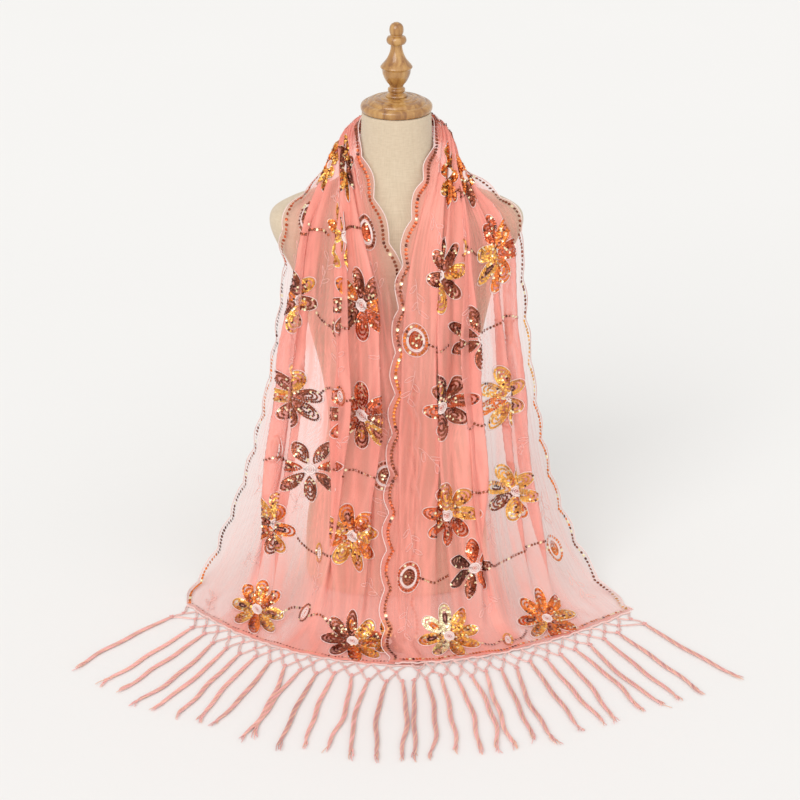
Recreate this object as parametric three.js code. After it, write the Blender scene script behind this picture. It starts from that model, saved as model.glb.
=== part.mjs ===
// An evening stole of sheer net, with scalloped borders and a knotted fringe at each end, hung round the
// neck of a linen-covered dress form. The form stands on its own flat base, and the two ends of the stole
// fall down its front, cross over each other in the middle and spread out on the surface in front of it.
// Millimetres, +Z up, +X to the right and -Y towards the viewer. The origin is the middle of the form's base.
import * as THREE from 'three';

// Driving dimensions.
const NET_WALL = 1.2; // thickness of the net
const LAID_HEIGHT = 0.9; // from the surface to the middle of the net that lies on it
const HEM_WIDTH = 4;
const OVER_HEM_RISE = 2.6; // the over end's hem climbs this far to cross the under end
const HEM_THICKNESS = 1.8; // rolled hem at each end
const FRINGE_THICKNESS = 3; // a flat solid of the fringe's reach
const FRINGE_REACH = 250; // from the hem to the tassels' tips
const FAN_CENTRE = new THREE.Vector3(20, 280, 0); // the tassels spread out from this point on the surface
const SEAM_GAP = 0.4; // between neighbouring pieces
const UNDER_SEAM_GAP = 1.4; // along the net's middle, from the under end to the stretch behind the neck
const OVER_SEAM_GAP = 2.6; // and from there to the over end, whose folds lean over at the seam
const BORDER_GAP = 0.6;
const FORM_CLEARANCE = 3.3; // from the form to the middle of the net that rests on it
const LIFT_OFF = 4; // how gradually the net leaves the form
const SCALLOP_LENGTH = 63; // along the border
const SCALLOP_STEP = SCALLOP_LENGTH / 4;
const SCALLOP_DEPTH = 9; // how far each scallop bulges past its cusps
const BORDER_WIDTH = 5; // from the net's edge to the cusps of the scallops
const NECK_RADIUS = 52; // at the top of the form's neck
const NECK_TOP = 790; // height of the form's neck
const FORM_EXPONENT = 2.3; // how square the form's sections are, where 2 is an ellipse
const FORM_SIDES = 44;
const BUST = { height: 500, apart: 75, swell: 13, spread: 45, rise: 55 };

// The dress form: half its width, and how far it reaches forward and back, at each height.
const FORM_SECTIONS = [
  { z: 0, half: 146, front: 94, back: 99 },
  { z: 10, half: 150, front: 98, back: 103 },
  { z: 110, half: 145, front: 97, back: 103 },
  { z: 200, half: 122, front: 88, back: 90 },
  { z: 280, half: 110, front: 83, back: 78 },
  { z: 360, half: 118, front: 90, back: 82 },
  { z: 440, half: 136, front: 102, back: 90 },
  { z: 500, half: 148, front: 108, back: 95 },
  { z: 545, half: 163, front: 104, back: 96 },
  { z: 585, half: 184, front: 97, back: 92 },
  { z: 613, half: 194, front: 90, back: 86 },
  { z: 633, half: 190, front: 84, back: 81 },
  { z: 647, half: 166, front: 78, back: 77 },
  { z: 658, half: 134, front: 73, back: 73 },
  { z: 674, half: 99, front: 66, back: 67 },
  { z: 694, half: 76, front: 60, back: 62 },
  { z: 716, half: 62, front: 55, back: 57 },
  { z: 745, half: 55, front: 52.5, back: 53.5 },
  { z: NECK_TOP, half: NECK_RADIUS, front: NECK_RADIUS, back: NECK_RADIUS },
];

// The turned wooden cap and its finial: radius at each height above the top of the neck.
const CAP_PROFILE = [
  { radius: 49, z: 0.3 },
  { radius: 52.5, z: 1.5 },
  { radius: 54, z: 6 },
  { radius: 53, z: 10.5 },
  { radius: 49, z: 13.5 },
  { radius: 44.5, z: 14.5 },
  { radius: 43.5, z: 16.5 },
  { radius: 38, z: 19 },
  { radius: 26, z: 21.5 },
  { radius: 17, z: 22.5 },
];
const FINIAL_PROFILE = [
  { radius: 16.5, z: 22.9 },
  { radius: 15.5, z: 25.5 },
  { radius: 11, z: 28.5 },
  { radius: 12.8, z: 31 },
  { radius: 12.8, z: 34.5 },
  { radius: 10.4, z: 36.5 },
  { radius: 10.8, z: 39.5 },
  { radius: 16, z: 46.5 },
  { radius: 20.3, z: 56 },
  { radius: 22, z: 64.5 },
  { radius: 24, z: 67 },
  { radius: 22.3, z: 70 },
  { radius: 15, z: 79 },
  { radius: 10, z: 90 },
  { radius: 8.8, z: 100.5 },
  { radius: 13, z: 102.5 },
  { radius: 15, z: 107.5 },
  { radius: 13, z: 112.5 },
  { radius: 9, z: 114.5 },
  { radius: 10.3, z: 119 },
  { radius: 10.3, z: 126 },
  { radius: 7.8, z: 131 },
  { radius: 3.5, z: 133.6 },
];

// The stole from the hem of its under end, up the form's left, round the back of the neck and down to the hem
// of its over end. Each row is one line across the net: its outer edge, its middle and its inner edge, how
// deep its folds are and how far they lean over sideways for each millimetre that they stand out.
const STOLE_ROWS = [
  { outer: [-336, -119, 0.9], middle: [-170, -252, 0.9], inner: [36, -298, 0.9], fold: 0, lean: 0 },
  { outer: [-329, -76, 0.9], middle: [-158, -212, 0.9], inner: [30, -262, 0.9], fold: 0.6, lean: 0 },
  { outer: [-319, -46, 7], middle: [-149, -183, 7], inner: [28, -230, 4], fold: 5, lean: 0.2 },
  { outer: [-300, -32, 34], middle: [-141, -163, 34], inner: [27, -202, 32], fold: 10, lean: 0.4 },
  { outer: [-279, -28, 84], middle: [-134, -150, 84], inner: [26, -181, 82], fold: 15, lean: 0.6 },
  { outer: [-257, -28, 140], middle: [-127, -141, 142], inner: [25, -167, 142], fold: 18, lean: 0.8 },
  { outer: [-235, -28, 207], middle: [-119, -134, 208], inner: [24, -156, 208], fold: 21, lean: 0.9 },
  { outer: [-213, -28, 291], middle: [-112, -127, 292], inner: [23, -148, 292], fold: 22, lean: 1 },
  { outer: [-196, -29, 370], middle: [-106, -124, 371], inner: [22, -142, 371], fold: 22, lean: 1 },
  { outer: [-183, -33, 450], middle: [-102, -125, 449], inner: [18, -136, 450], fold: 21, lean: 1 },
  { outer: [-172, -44, 525], middle: [-99, -124, 518], inner: [8, -129, 520], fold: 19, lean: 1 },
  { outer: [-164, -50, 590], middle: [-96, -112, 584], inner: [-6, -117, 587], fold: 16, lean: 0.9 },
  { outer: [-154, -40, 640], middle: [-93, -96, 636], inner: [-26, -100, 643], fold: 13, lean: 0.8 },
  { outer: [-132, -4, 666], middle: [-88, -66, 676], inner: [-42, -74, 688], fold: 10, lean: 0.6 },
  { outer: [-106, 20, 692], middle: [-84, -26, 708], inner: [-56, -38, 728], fold: 7, lean: 0.4 },
  { outer: [-86, 44, 712], middle: [-79, 14, 738], inner: [-61, 2, 757], fold: 5, lean: 0 },
  { outer: [-50, 77, 720], middle: [-58, 62, 746], inner: [-46, 45, 770], fold: 4, lean: 0 },
  { outer: [0, 91, 724], middle: [0, 84, 748], inner: [0, 65, 773], fold: 4, lean: 0 },
  { outer: [50, 77, 724], middle: [58, 62, 749], inner: [46, 45, 773], fold: 4, lean: 0 },
  { outer: [84, 44, 718], middle: [79, 14, 742], inner: [61, 2, 760], fold: 5, lean: 0 },
  { outer: [92, 16, 708], middle: [85, -28, 712], inner: [56, -38, 728], fold: 7, lean: 0.4 },
  { outer: [112, -2, 688], middle: [94, -68, 676], inner: [42, -72, 694], fold: 10, lean: 0.6 },
  { outer: [152, -16, 660], middle: [102, -94, 636], inner: [29, -96, 656], fold: 13, lean: 0.8 },
  { outer: [182, -38, 628], middle: [107, -114, 590], inner: [17, -118, 606], fold: 16, lean: 0.9 },
  { outer: [189, -42, 560], middle: [108, -126, 532], inner: [10, -138, 548], fold: 19, lean: 1 },
  { outer: [197, -34, 480], middle: [109, -129, 462], inner: [5, -148, 474], fold: 21, lean: 1 },
  { outer: [208, -30, 390], middle: [113, -130, 384], inner: [3, -153, 392], fold: 22, lean: 1 },
  { outer: [222, -29, 300], middle: [119, -133, 303], inner: [-2, -157, 306], fold: 22, lean: 1 },
  { outer: [239, -30, 216], middle: [126, -138, 220], inner: [-6, -164, 220], fold: 21, lean: 0.9 },
  { outer: [260, -32, 145], middle: [134, -145, 148], inner: [-9, -174, 148], fold: 18, lean: 0.8 },
  { outer: [283, -38, 88], middle: [143, -155, 90], inner: [-12, -188, 92], fold: 15, lean: 0.6 },
  { outer: [309, -50, 38], middle: [152, -170, 40], inner: [-13, -208, 42], fold: 10, lean: 0.4 },
  { outer: [333, -70, 8], middle: [160, -190, 10], inner: [-12, -232, 15], fold: 5, lean: 0.2 },
  { outer: [351, -98, 0.9], middle: [168, -216, 2.6], inner: [-8, -258, 6], fold: 0.6, lean: 0 },
  { outer: [373, -140, 0.9], middle: [180, -256, 2.4], inner: [-2, -292, 3.6], fold: 0, lean: 0 },
];
const ROW_STEPS = [
  { below: 580, steps: 1 },
  { below: 700, steps: 3 },
  { below: NECK_TOP, steps: 2 },
];
const UNDER_SEAM_ROW = 14; // where the under end meets the stretch behind the neck
const OVER_SEAM_ROW = 20; // where the stretch behind the neck meets the over end

// The folds across each end, from its outer edge (0) to its inner edge (1): the middle of each ridge, half
// its width, its share of the row's fold depth and the side that it leans to.
const UNDER_FOLDS = [
  { at: 0.19, half: 0.05, height: 0.8, side: 1 },
  { at: 0.275, half: 0.045, height: 1, side: -1 },
  { at: 0.35, half: 0.035, height: 0.7, side: -1 },
  { at: 0.56, half: 0.05, height: 1, side: 1 },
  { at: 0.65, half: 0.045, height: 0.8, side: -1 },
  { at: 0.74, half: 0.045, height: 0.9, side: 1 },
  { at: 0.83, half: 0.04, height: 0.2, side: -1 },
  { at: 0.92, half: 0.04, height: 0.15, side: 1 },
];
const OVER_FOLDS = [
  { at: 0.15, half: 0.04, height: 0.4, side: 1 },
  { at: 0.24, half: 0.045, height: 0.9, side: -1 },
  { at: 0.32, half: 0.035, height: 0.6, side: -1 },
  { at: 0.48, half: 0.05, height: 1, side: 1 },
  { at: 0.58, half: 0.045, height: 1, side: -1 },
  { at: 0.67, half: 0.04, height: 0.7, side: 1 },
  { at: 0.8, half: 0.045, height: 0.5, side: -1 },
  { at: 0.93, half: 0.035, height: 0.4, side: 1 },
];

const LINEN = new THREE.MeshStandardMaterial({ color: 0xd8c9ae, roughness: 0.95, metalness: 0 });
const WOOD = new THREE.MeshStandardMaterial({ color: 0xbb8a52, roughness: 0.35, metalness: 0 });
const NET = new THREE.MeshStandardMaterial({ color: 0xf2998a, roughness: 0.8, metalness: 0 });
const BORDER = new THREE.MeshStandardMaterial({ color: 0xf6c3b4, roughness: 0.6, metalness: 0 });
const THREAD = new THREE.MeshStandardMaterial({ color: 0xeba69b, roughness: 0.85, metalness: 0 });

const vec = (p) => new THREE.Vector3(...p);

function spaced(from, to, count) {
  return Array.from({ length: count }, (_, i) => from + ((to - from) * i) / (count - 1));
}

// A smooth curve through a table's numbers: knots are where they lie, values what they are there.
function smooth(knots, values, at) {
  const last = knots.length - 1;
  let i = 0;
  while (i < last - 1 && at > knots[i + 1]) i += 1;
  const slope = (k) => {
    const before = Math.max(k - 1, 0);
    const after = Math.min(k + 1, last);
    return (values[after] - values[before]) / (knots[after] - knots[before]);
  };
  const step = knots[i + 1] - knots[i];
  const t = (at - knots[i]) / step;
  const rise = t * t * (3 - 2 * t);
  return (
    values[i] * (1 - rise) +
    values[i + 1] * rise +
    step * (slope(i) * t * (1 - t) ** 2 - slope(i + 1) * t * t * (1 - t))
  );
}

// One closed mesh from its points and triangles.
function solid(points, triangles) {
  const geometry = new THREE.BufferGeometry();
  geometry.setAttribute('position', new THREE.Float32BufferAttribute(points.flatMap((p) => p.toArray()), 3));
  geometry.setIndex(triangles.flat());
  geometry.computeVertexNormals();
  return geometry;
}

// A closed body from stacked rings that all have the same number of points, with flat ends.
function stackRings(rings) {
  const around = rings[0].length;
  const points = rings.flat();
  const triangles = [];
  for (let k = 0; k < rings.length - 1; k += 1) {
    for (let i = 0; i < around; i += 1) {
      const j = (i + 1) % around;
      const [a, b, c, d] = [k * around + i, k * around + j, (k + 1) * around + j, (k + 1) * around + i];
      triangles.push([a, b, c], [a, c, d]);
    }
  }
  const lastRing = rings.length - 1;
  for (const k of [0, lastRing]) {
    const centre = rings[k].reduce((sum, p) => sum.add(p), new THREE.Vector3()).divideScalar(around);
    points.push(centre);
    for (let i = 0; i < around; i += 1) {
      const [a, b] = [k * around + i, k * around + ((i + 1) % around)];
      triangles.push(k === 0 ? [points.length - 1, b, a] : [points.length - 1, a, b]);
    }
  }
  return solid(points, triangles);
}

// The dress form's section at a height: a superellipse, with a soft swell on each side of the bust.
function formSection(z) {
  const knots = FORM_SECTIONS.map((row) => row.z);
  const size = (name) => smooth(knots, FORM_SECTIONS.map((row) => row[name]), z);
  const rise = (z - BUST.height) / BUST.rise;
  const swell = (x) => {
    const aside = (Math.abs(x) - BUST.apart) / BUST.spread;
    return BUST.swell * Math.exp(-aside * aside - rise * rise);
  };
  return { half: size('half'), front: size('front'), back: size('back'), swell };
}

function formRing(z) {
  const { half, front, back, swell } = formSection(z);
  const power = (value) => Math.sign(value) * Math.abs(value) ** (2 / FORM_EXPONENT);
  return Array.from({ length: FORM_SIDES }, (_, i) => {
    const turn = (2 * Math.PI * i) / FORM_SIDES;
    const x = half * power(Math.cos(turn));
    const depth = Math.sin(turn) < 0 ? front + swell(x) : back;
    return new THREE.Vector3(x, depth * power(Math.sin(turn)), z);
  });
}

// 0 on the form's surface, growing outwards.
function formLevel(point) {
  const { half, front, back, swell } = formSection(Math.min(Math.max(point.z, 0), NECK_TOP));
  const depth = point.y < 0 ? front + swell(point.x) : back;
  const reach = (Math.abs(point.x) / half) ** FORM_EXPONENT + (Math.abs(point.y) / depth) ** FORM_EXPONENT;
  return reach ** (1 / FORM_EXPONENT) - 1;
}

// A point moved outwards until it is clear of the form, and left alone where it already is. The first turn
// lifts it off gradually, and the rest mend what that leaves too near.
function clearOfForm(point) {
  const step = 0.5;
  const free = FORM_CLEARANCE + LIFT_OFF;
  for (let turn = 0; turn < 3; turn += 1) {
    const level = formLevel(point);
    const slope = new THREE.Vector3(...['x', 'y', 'z'].map((axis) => {
      const beside = point.clone();
      beside[axis] += step;
      return (formLevel(beside) - level) / step;
    }));
    const steepness = slope.length();
    const gap = level / steepness;
    if (gap >= free) break;
    const lift = turn === 0 ? LIFT_OFF * Math.exp((gap - free) / LIFT_OFF) : 0;
    const short = FORM_CLEARANCE + lift - gap;
    if (short > 0) point.addScaledVector(slope, short / steepness);
  }
  return point;
}

function formBody() {
  const rings = [];
  for (const [k, row] of FORM_SECTIONS.entries()) {
    rings.push(formRing(row.z));
    const next = FORM_SECTIONS[k + 1];
    if (next && next.z - row.z > 35) rings.push(formRing((row.z + next.z) / 2));
  }
  return stackRings(rings);
}

// A turned piece: a profile that starts and ends on the axis.
function turned(profile) {
  const closed = [{ radius: 0, z: profile[0].z }, ...profile, { radius: 0, z: profile.at(-1).z }];
  return new THREE.LatheGeometry(closed.map((row) => new THREE.Vector2(row.radius, row.z)), 32);
}

// The stole's rows by their distance along the middle of the net, from the under hem.
const ALONG = [0];
for (let i = 1; i < STOLE_ROWS.length; i += 1) {
  ALONG.push(ALONG[i - 1] + vec(STOLE_ROWS[i].middle).distanceTo(vec(STOLE_ROWS[i - 1].middle)));
}
const LENGTH = ALONG.at(-1);
const NECK_FADE = 60; // the folds sink away over this length at the back of the neck
const NECK_MIDDLE = (ALONG[UNDER_SEAM_ROW] + ALONG[OVER_SEAM_ROW]) / 2;

const column = (at, read) => smooth(ALONG, STOLE_ROWS.map(read), at);
function place(at, edge) {
  return new THREE.Vector3(...[0, 1, 2].map((axis) => column(at, (row) => row[edge][axis])));
}

// A point of the stole with its folds pressed flat: the curve through a row's three points, clear of the form
// and of the surface that the form stands on.
function pressed(across, at) {
  const [outer, middle, inner] = ['outer', 'middle', 'inner'].map((edge) => place(at, edge));
  const point = outer.multiplyScalar((1 - across) * (1 - 2 * across))
    .addScaledVector(middle, 4 * across * (1 - across))
    .addScaledVector(inner, across * (2 * across - 1));
  point.z = Math.max(point.z, LAID_HEIGHT);
  return clearOfForm(point);
}

// The direction that the stole's outside faces there, away from the form.
function facing(across, at) {
  const step = 0.004;
  const [left, right] = [Math.max(across - step, 0), Math.min(across + step, 1)];
  const [below, above] = [Math.max(at - 2, 0), Math.min(at + 2, LENGTH)];
  const sideways = pressed(right, at).sub(pressed(left, at));
  const onward = pressed(across, above).sub(pressed(across, below));
  return sideways.cross(onward).normalize();
}

// How far a fold stands out at a place, and how far it leans over.
function foldAt(across, at) {
  const folds = at < NECK_MIDDLE ? UNDER_FOLDS : OVER_FOLDS;
  const faded = Math.min(Math.abs(at - NECK_MIDDLE) / NECK_FADE, 1);
  const depth = Math.max(column(at, (row) => row.fold), 0) * faded;
  const lean = column(at, (row) => row.lean);
  for (const fold of folds) {
    const off = (across - fold.at) / fold.half;
    if (Math.abs(off) < 1) {
      const out = (depth * fold.height * (1 + Math.cos(Math.PI * off))) / 2;
      return { out, aside: out * lean * fold.side };
    }
  }
  return { out: 0, aside: 0 };
}

// A point of the net's middle surface, with its folds.
function net(across, at) {
  const { out, aside } = foldAt(across, at);
  const middle = place(at, 'middle');
  const width = place(at, 'outer').distanceTo(middle) + middle.distanceTo(place(at, 'inner'));
  const moved = Math.min(Math.max(across + aside / width, 0), 1);
  return pressed(moved, at).addScaledVector(facing(moved, at), out);
}

// Half a wall's thickness at a point of a grid, as a mitre between the straight stretches on its two sides,
// so that the wall stays whole in a sharp crease.
function mitre(grid, k, i) {
  const row = grid[k];
  const onward = grid[Math.min(k + 1, grid.length - 1)][i].clone().sub(grid[Math.max(k - 1, 0)][i]);
  const sides = [Math.max(i - 1, 0), Math.min(i, row.length - 2)].map((from) => (
    row[from + 1].clone().sub(row[from]).cross(onward).normalize()
  ));
  const middle = sides[0].clone().add(sides[1]).normalize();
  return middle.divideScalar(Math.max(middle.dot(sides[0]), 0.5));
}

// A closed wall of the given thickness on a surface, over a grid of places.
function wall(surface, acrossList, atList, thickness) {
  const points = [];
  const [columns, rows] = [acrossList.length, atList.length];
  const grid = atList.map((at) => acrossList.map((across) => surface(across, at)));
  for (const side of [1, -1]) {
    for (let k = 0; k < rows; k += 1) {
      for (let i = 0; i < columns; i += 1) {
        const point = grid[k][i].clone().addScaledVector(mitre(grid, k, i), (side * thickness) / 2);
        points.push(point.setZ(Math.max(point.z, 0)));
      }
    }
  }
  const index = (side, k, i) => (side * rows + k) * columns + i;
  const triangles = [];
  const quad = (a, b, c, d) => triangles.push([a, b, c], [a, c, d]);
  for (let k = 0; k < rows - 1; k += 1) {
    for (let i = 0; i < columns - 1; i += 1) {
      quad(index(0, k, i), index(0, k, i + 1), index(0, k + 1, i + 1), index(0, k + 1, i));
      quad(index(1, k, i), index(1, k + 1, i), index(1, k + 1, i + 1), index(1, k, i + 1));
    }
    const last = columns - 1;
    quad(index(0, k, 0), index(0, k + 1, 0), index(1, k + 1, 0), index(1, k, 0));
    quad(index(0, k + 1, last), index(0, k, last), index(1, k, last), index(1, k + 1, last));
  }
  for (let i = 0; i < columns - 1; i += 1) {
    const last = rows - 1;
    quad(index(0, 0, i + 1), index(0, 0, i), index(1, 0, i), index(1, 0, i + 1));
    quad(index(0, last, i), index(0, last, i + 1), index(1, last, i + 1), index(1, last, i));
  }
  return solid(points, triangles);
}

// The rows that a stretch's walls are built on, closer together over the shoulder and round the neck.
function wallRows(first, last, from, to) {
  const rows = [];
  for (let i = first; i < last; i += 1) {
    const height = (STOLE_ROWS[i].outer[2] + STOLE_ROWS[i + 1].outer[2]) / 2;
    const { steps } = ROW_STEPS.find((band) => height < band.below);
    rows.push(...spaced(ALONG[i], ALONG[i + 1], steps + 1).slice(0, steps));
  }
  return [from, ...rows.slice(1), to];
}

// The places across the net where its folds start, rise, fall and stop.
function foldPlaces(folds, shares) {
  const places = folds.flatMap((f) => shares.map((share) => f.at + share * f.half));
  return [0, ...places, 1].sort((a, b) => a - b).filter((v, i, all) => i === 0 || v - all[i - 1] > 0.012);
}

// A strip beside the net's edge whose free side is a row of scallops. It follows the net's own straight
// stretches from row to row, so that the two never cross.
function border(rim, rows) {
  const inside = rim === 0 ? 0.01 : 0.99;
  const between = (read, at) => {
    const k = Math.min(Math.max(rows.findLastIndex((row) => row <= at), 0), rows.length - 2);
    return read(rows[k]).lerp(read(rows[k + 1]), (at - rows[k]) / (rows[k + 1] - rows[k]));
  };
  const strip = (across, at) => {
    const start = between((row) => pressed(rim, row), at);
    const outward = start.clone().sub(between((row) => pressed(inside, row), at)).normalize();
    const bulge = SCALLOP_DEPTH * Math.abs(Math.sin((Math.PI * at) / SCALLOP_LENGTH));
    const share = rim === 0 ? 1 - across : across;
    return clearOfForm(start.addScaledVector(outward, BORDER_GAP + share * (BORDER_WIDTH + bulge)));
  };
  const places = rows.slice(0, -1).flatMap((row, k) => {
    const steps = Math.max(Math.round((rows[k + 1] - row) / SCALLOP_STEP), 1);
    return spaced(row, rows[k + 1], steps + 1).slice(0, steps);
  });
  return wall(strip, [0, 1], [...places, rows.at(-1)], NET_WALL);
}

// What lies past a hem: from the hem's line to the reach given, over its width from the outer edge.
function laidPast(at, start, reach, to, bottom, thickness) {
  const surface = (across, along) => {
    const edge = pressed(across, at);
    const way = edge.clone().sub(FAN_CENTRE).setZ(0).normalize();
    const share = at === 0 ? 1 - along / LENGTH : along / LENGTH;
    const point = edge.clone().addScaledVector(way, start + reach * share);
    return point.setZ(bottom(across) + thickness / 2);
  };
  return wall(surface, spaced(0, to, 15), [0, LENGTH / 2, LENGTH], thickness);
}

function piece(name, geometry, material) {
  const mesh = new THREE.Mesh(geometry, material);
  mesh.name = name;
  return mesh;
}

const stole = new THREE.Group();
const underSeam = ALONG[UNDER_SEAM_ROW];
const overSeam = ALONG[OVER_SEAM_ROW];
const lastRow = STOLE_ROWS.length - 1;
const underRows = wallRows(0, UNDER_SEAM_ROW, 0, underSeam - UNDER_SEAM_GAP / 2);
const neckFrom = underSeam + UNDER_SEAM_GAP / 2;
const neckTo = overSeam - OVER_SEAM_GAP / 2;
const neckRows = wallRows(UNDER_SEAM_ROW, OVER_SEAM_ROW, neckFrom, neckTo);
const overRows = wallRows(OVER_SEAM_ROW, lastRow, overSeam + OVER_SEAM_GAP / 2, LENGTH);
const STRETCHES = [
  { name: 'under_end', rows: underRows, places: foldPlaces(UNDER_FOLDS, [-1, -0.4, 0.4, 1]) },
  { name: 'neck_stretch', rows: neckRows, places: foldPlaces(OVER_FOLDS, [-1, 0, 1]) },
  { name: 'over_end', rows: overRows, places: foldPlaces(OVER_FOLDS, [-1, -0.4, 0.4, 1]) },
];
for (const { name, rows, places } of STRETCHES) {
  stole.add(piece(`stole_${name}`, wall(net, places, rows, NET_WALL), NET));
  stole.add(piece(`outer_border_${name}`, border(0, rows), BORDER));
  stole.add(piece(`inner_border_${name}`, border(1, rows), BORDER));
}
const onSurface = () => 0;
const onUnderEnd = (across) => OVER_HEM_RISE * across;
const onUnderHem = (across) => OVER_HEM_RISE * Math.min(Math.max((across - 0.66) / 0.16, 0), 1);
const fringeStart = HEM_WIDTH + 2 * SEAM_GAP;
const fringeReach = FRINGE_REACH - fringeStart;
const ENDS = [
  { name: 'under_end', at: 0, hemBottom: onSurface, fringeBottom: onSurface, fringeTo: 0.95 },
  { name: 'over_end', at: LENGTH, hemBottom: onUnderEnd, fringeBottom: onUnderHem, fringeTo: 0.93 },
];
for (const { name, at, hemBottom, fringeBottom, fringeTo } of ENDS) {
  stole.add(piece(`hem_${name}`, laidPast(at, SEAM_GAP, HEM_WIDTH, 1, hemBottom, HEM_THICKNESS), THREAD));
  const fringe = laidPast(at, fringeStart, fringeReach, fringeTo, fringeBottom, FRINGE_THICKNESS);
  stole.add(piece(`fringe_${name}`, fringe, THREAD));
}

const stand = new THREE.Group();
stand.add(piece('form_body', formBody(), LINEN));
const cap = new THREE.Group();
cap.position.z = NECK_TOP;
cap.rotation.x = Math.PI / 2;
cap.add(piece('neck_cap', turned(CAP_PROFILE), WOOD));
cap.add(piece('cap_finial', turned(FINIAL_PROFILE), WOOD));
stand.add(cap);

const part = new THREE.Group();
part.add(stand, stole);

export default part;
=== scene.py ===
"""An evening stole of sheer net with sequin flowers, hung round the neck of a linen dress form.

Lengths in this script are millimetres until they reach a mesh, and a place on the cloth is u, across it
from its outer edge, and v, along it from the hem of its under end.
"""

import math

import bpy
import numpy as np
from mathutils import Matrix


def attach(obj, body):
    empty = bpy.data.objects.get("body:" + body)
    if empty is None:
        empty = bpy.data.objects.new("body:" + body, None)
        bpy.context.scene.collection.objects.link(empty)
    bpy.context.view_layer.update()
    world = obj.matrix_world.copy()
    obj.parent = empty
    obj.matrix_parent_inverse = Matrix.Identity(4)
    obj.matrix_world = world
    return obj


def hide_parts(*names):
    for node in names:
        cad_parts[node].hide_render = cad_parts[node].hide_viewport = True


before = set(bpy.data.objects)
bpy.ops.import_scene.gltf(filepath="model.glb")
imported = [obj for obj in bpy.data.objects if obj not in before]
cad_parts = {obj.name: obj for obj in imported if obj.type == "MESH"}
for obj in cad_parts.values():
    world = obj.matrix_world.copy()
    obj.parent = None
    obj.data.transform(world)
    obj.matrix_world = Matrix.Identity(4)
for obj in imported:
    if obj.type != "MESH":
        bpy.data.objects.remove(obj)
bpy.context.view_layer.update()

MM = 0.001
RANDOM = np.random.default_rng(11)

# ---------------------------------------------------------------- the drape, as the CAD builds it

LAID_HEIGHT = 0.9  # from the surface to the net that lies on it
OVER_HEM_RISE = 2.6
FORM_CLEARANCE = 3.3
LIFT_OFF = 4
SCALLOP_LENGTH = 63
SCALLOP_DEPTH = 9
BORDER_WIDTH = 5
NECK_TOP = 790
FORM_EXPONENT = 2.3
BUST = {"height": 500, "apart": 75, "swell": 13, "spread": 45, "rise": 55}
FAN_CENTRE = np.array([20.0, 280.0])  # the tassels spread out from this point
FRINGE_REACH = 250

# Height of the form's section, half its width, and its reach forward and back.
FORM_SECTIONS = np.array([
    [0, 146, 94, 99], [10, 150, 98, 103], [110, 145, 97, 103], [200, 122, 88, 90], [280, 110, 83, 78],
    [360, 118, 90, 82], [440, 136, 102, 90], [500, 148, 108, 95], [545, 163, 104, 96], [585, 184, 97, 92],
    [613, 194, 90, 86], [633, 190, 84, 81], [647, 166, 78, 77], [658, 134, 73, 73], [674, 99, 66, 67],
    [694, 76, 60, 62], [716, 62, 55, 57], [745, 55, 52.5, 53.5], [NECK_TOP, 52, 52, 52],
], float)

# Radius and height above the top of the neck.
CAP_PROFILE = [
    (49, 0.3), (52.5, 1.5), (54, 6), (53, 10.5), (49, 13.5), (44.5, 14.5), (43.5, 16.5), (38, 19),
    (26, 21.5), (17, 22.5),
]
FINIAL_PROFILE = [
    (16.5, 22.9), (15.5, 25.5), (11, 28.5), (12.8, 31), (12.8, 34.5), (10.4, 36.5), (10.8, 39.5),
    (16, 46.5), (20.3, 56), (22, 64.5), (24, 67), (22.3, 70), (15, 79), (10, 90), (8.8, 100.5),
    (13, 102.5), (15, 107.5), (13, 112.5), (9, 114.5), (10.3, 119), (10.3, 126), (7.8, 131), (3.5, 133.6),
]

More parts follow.
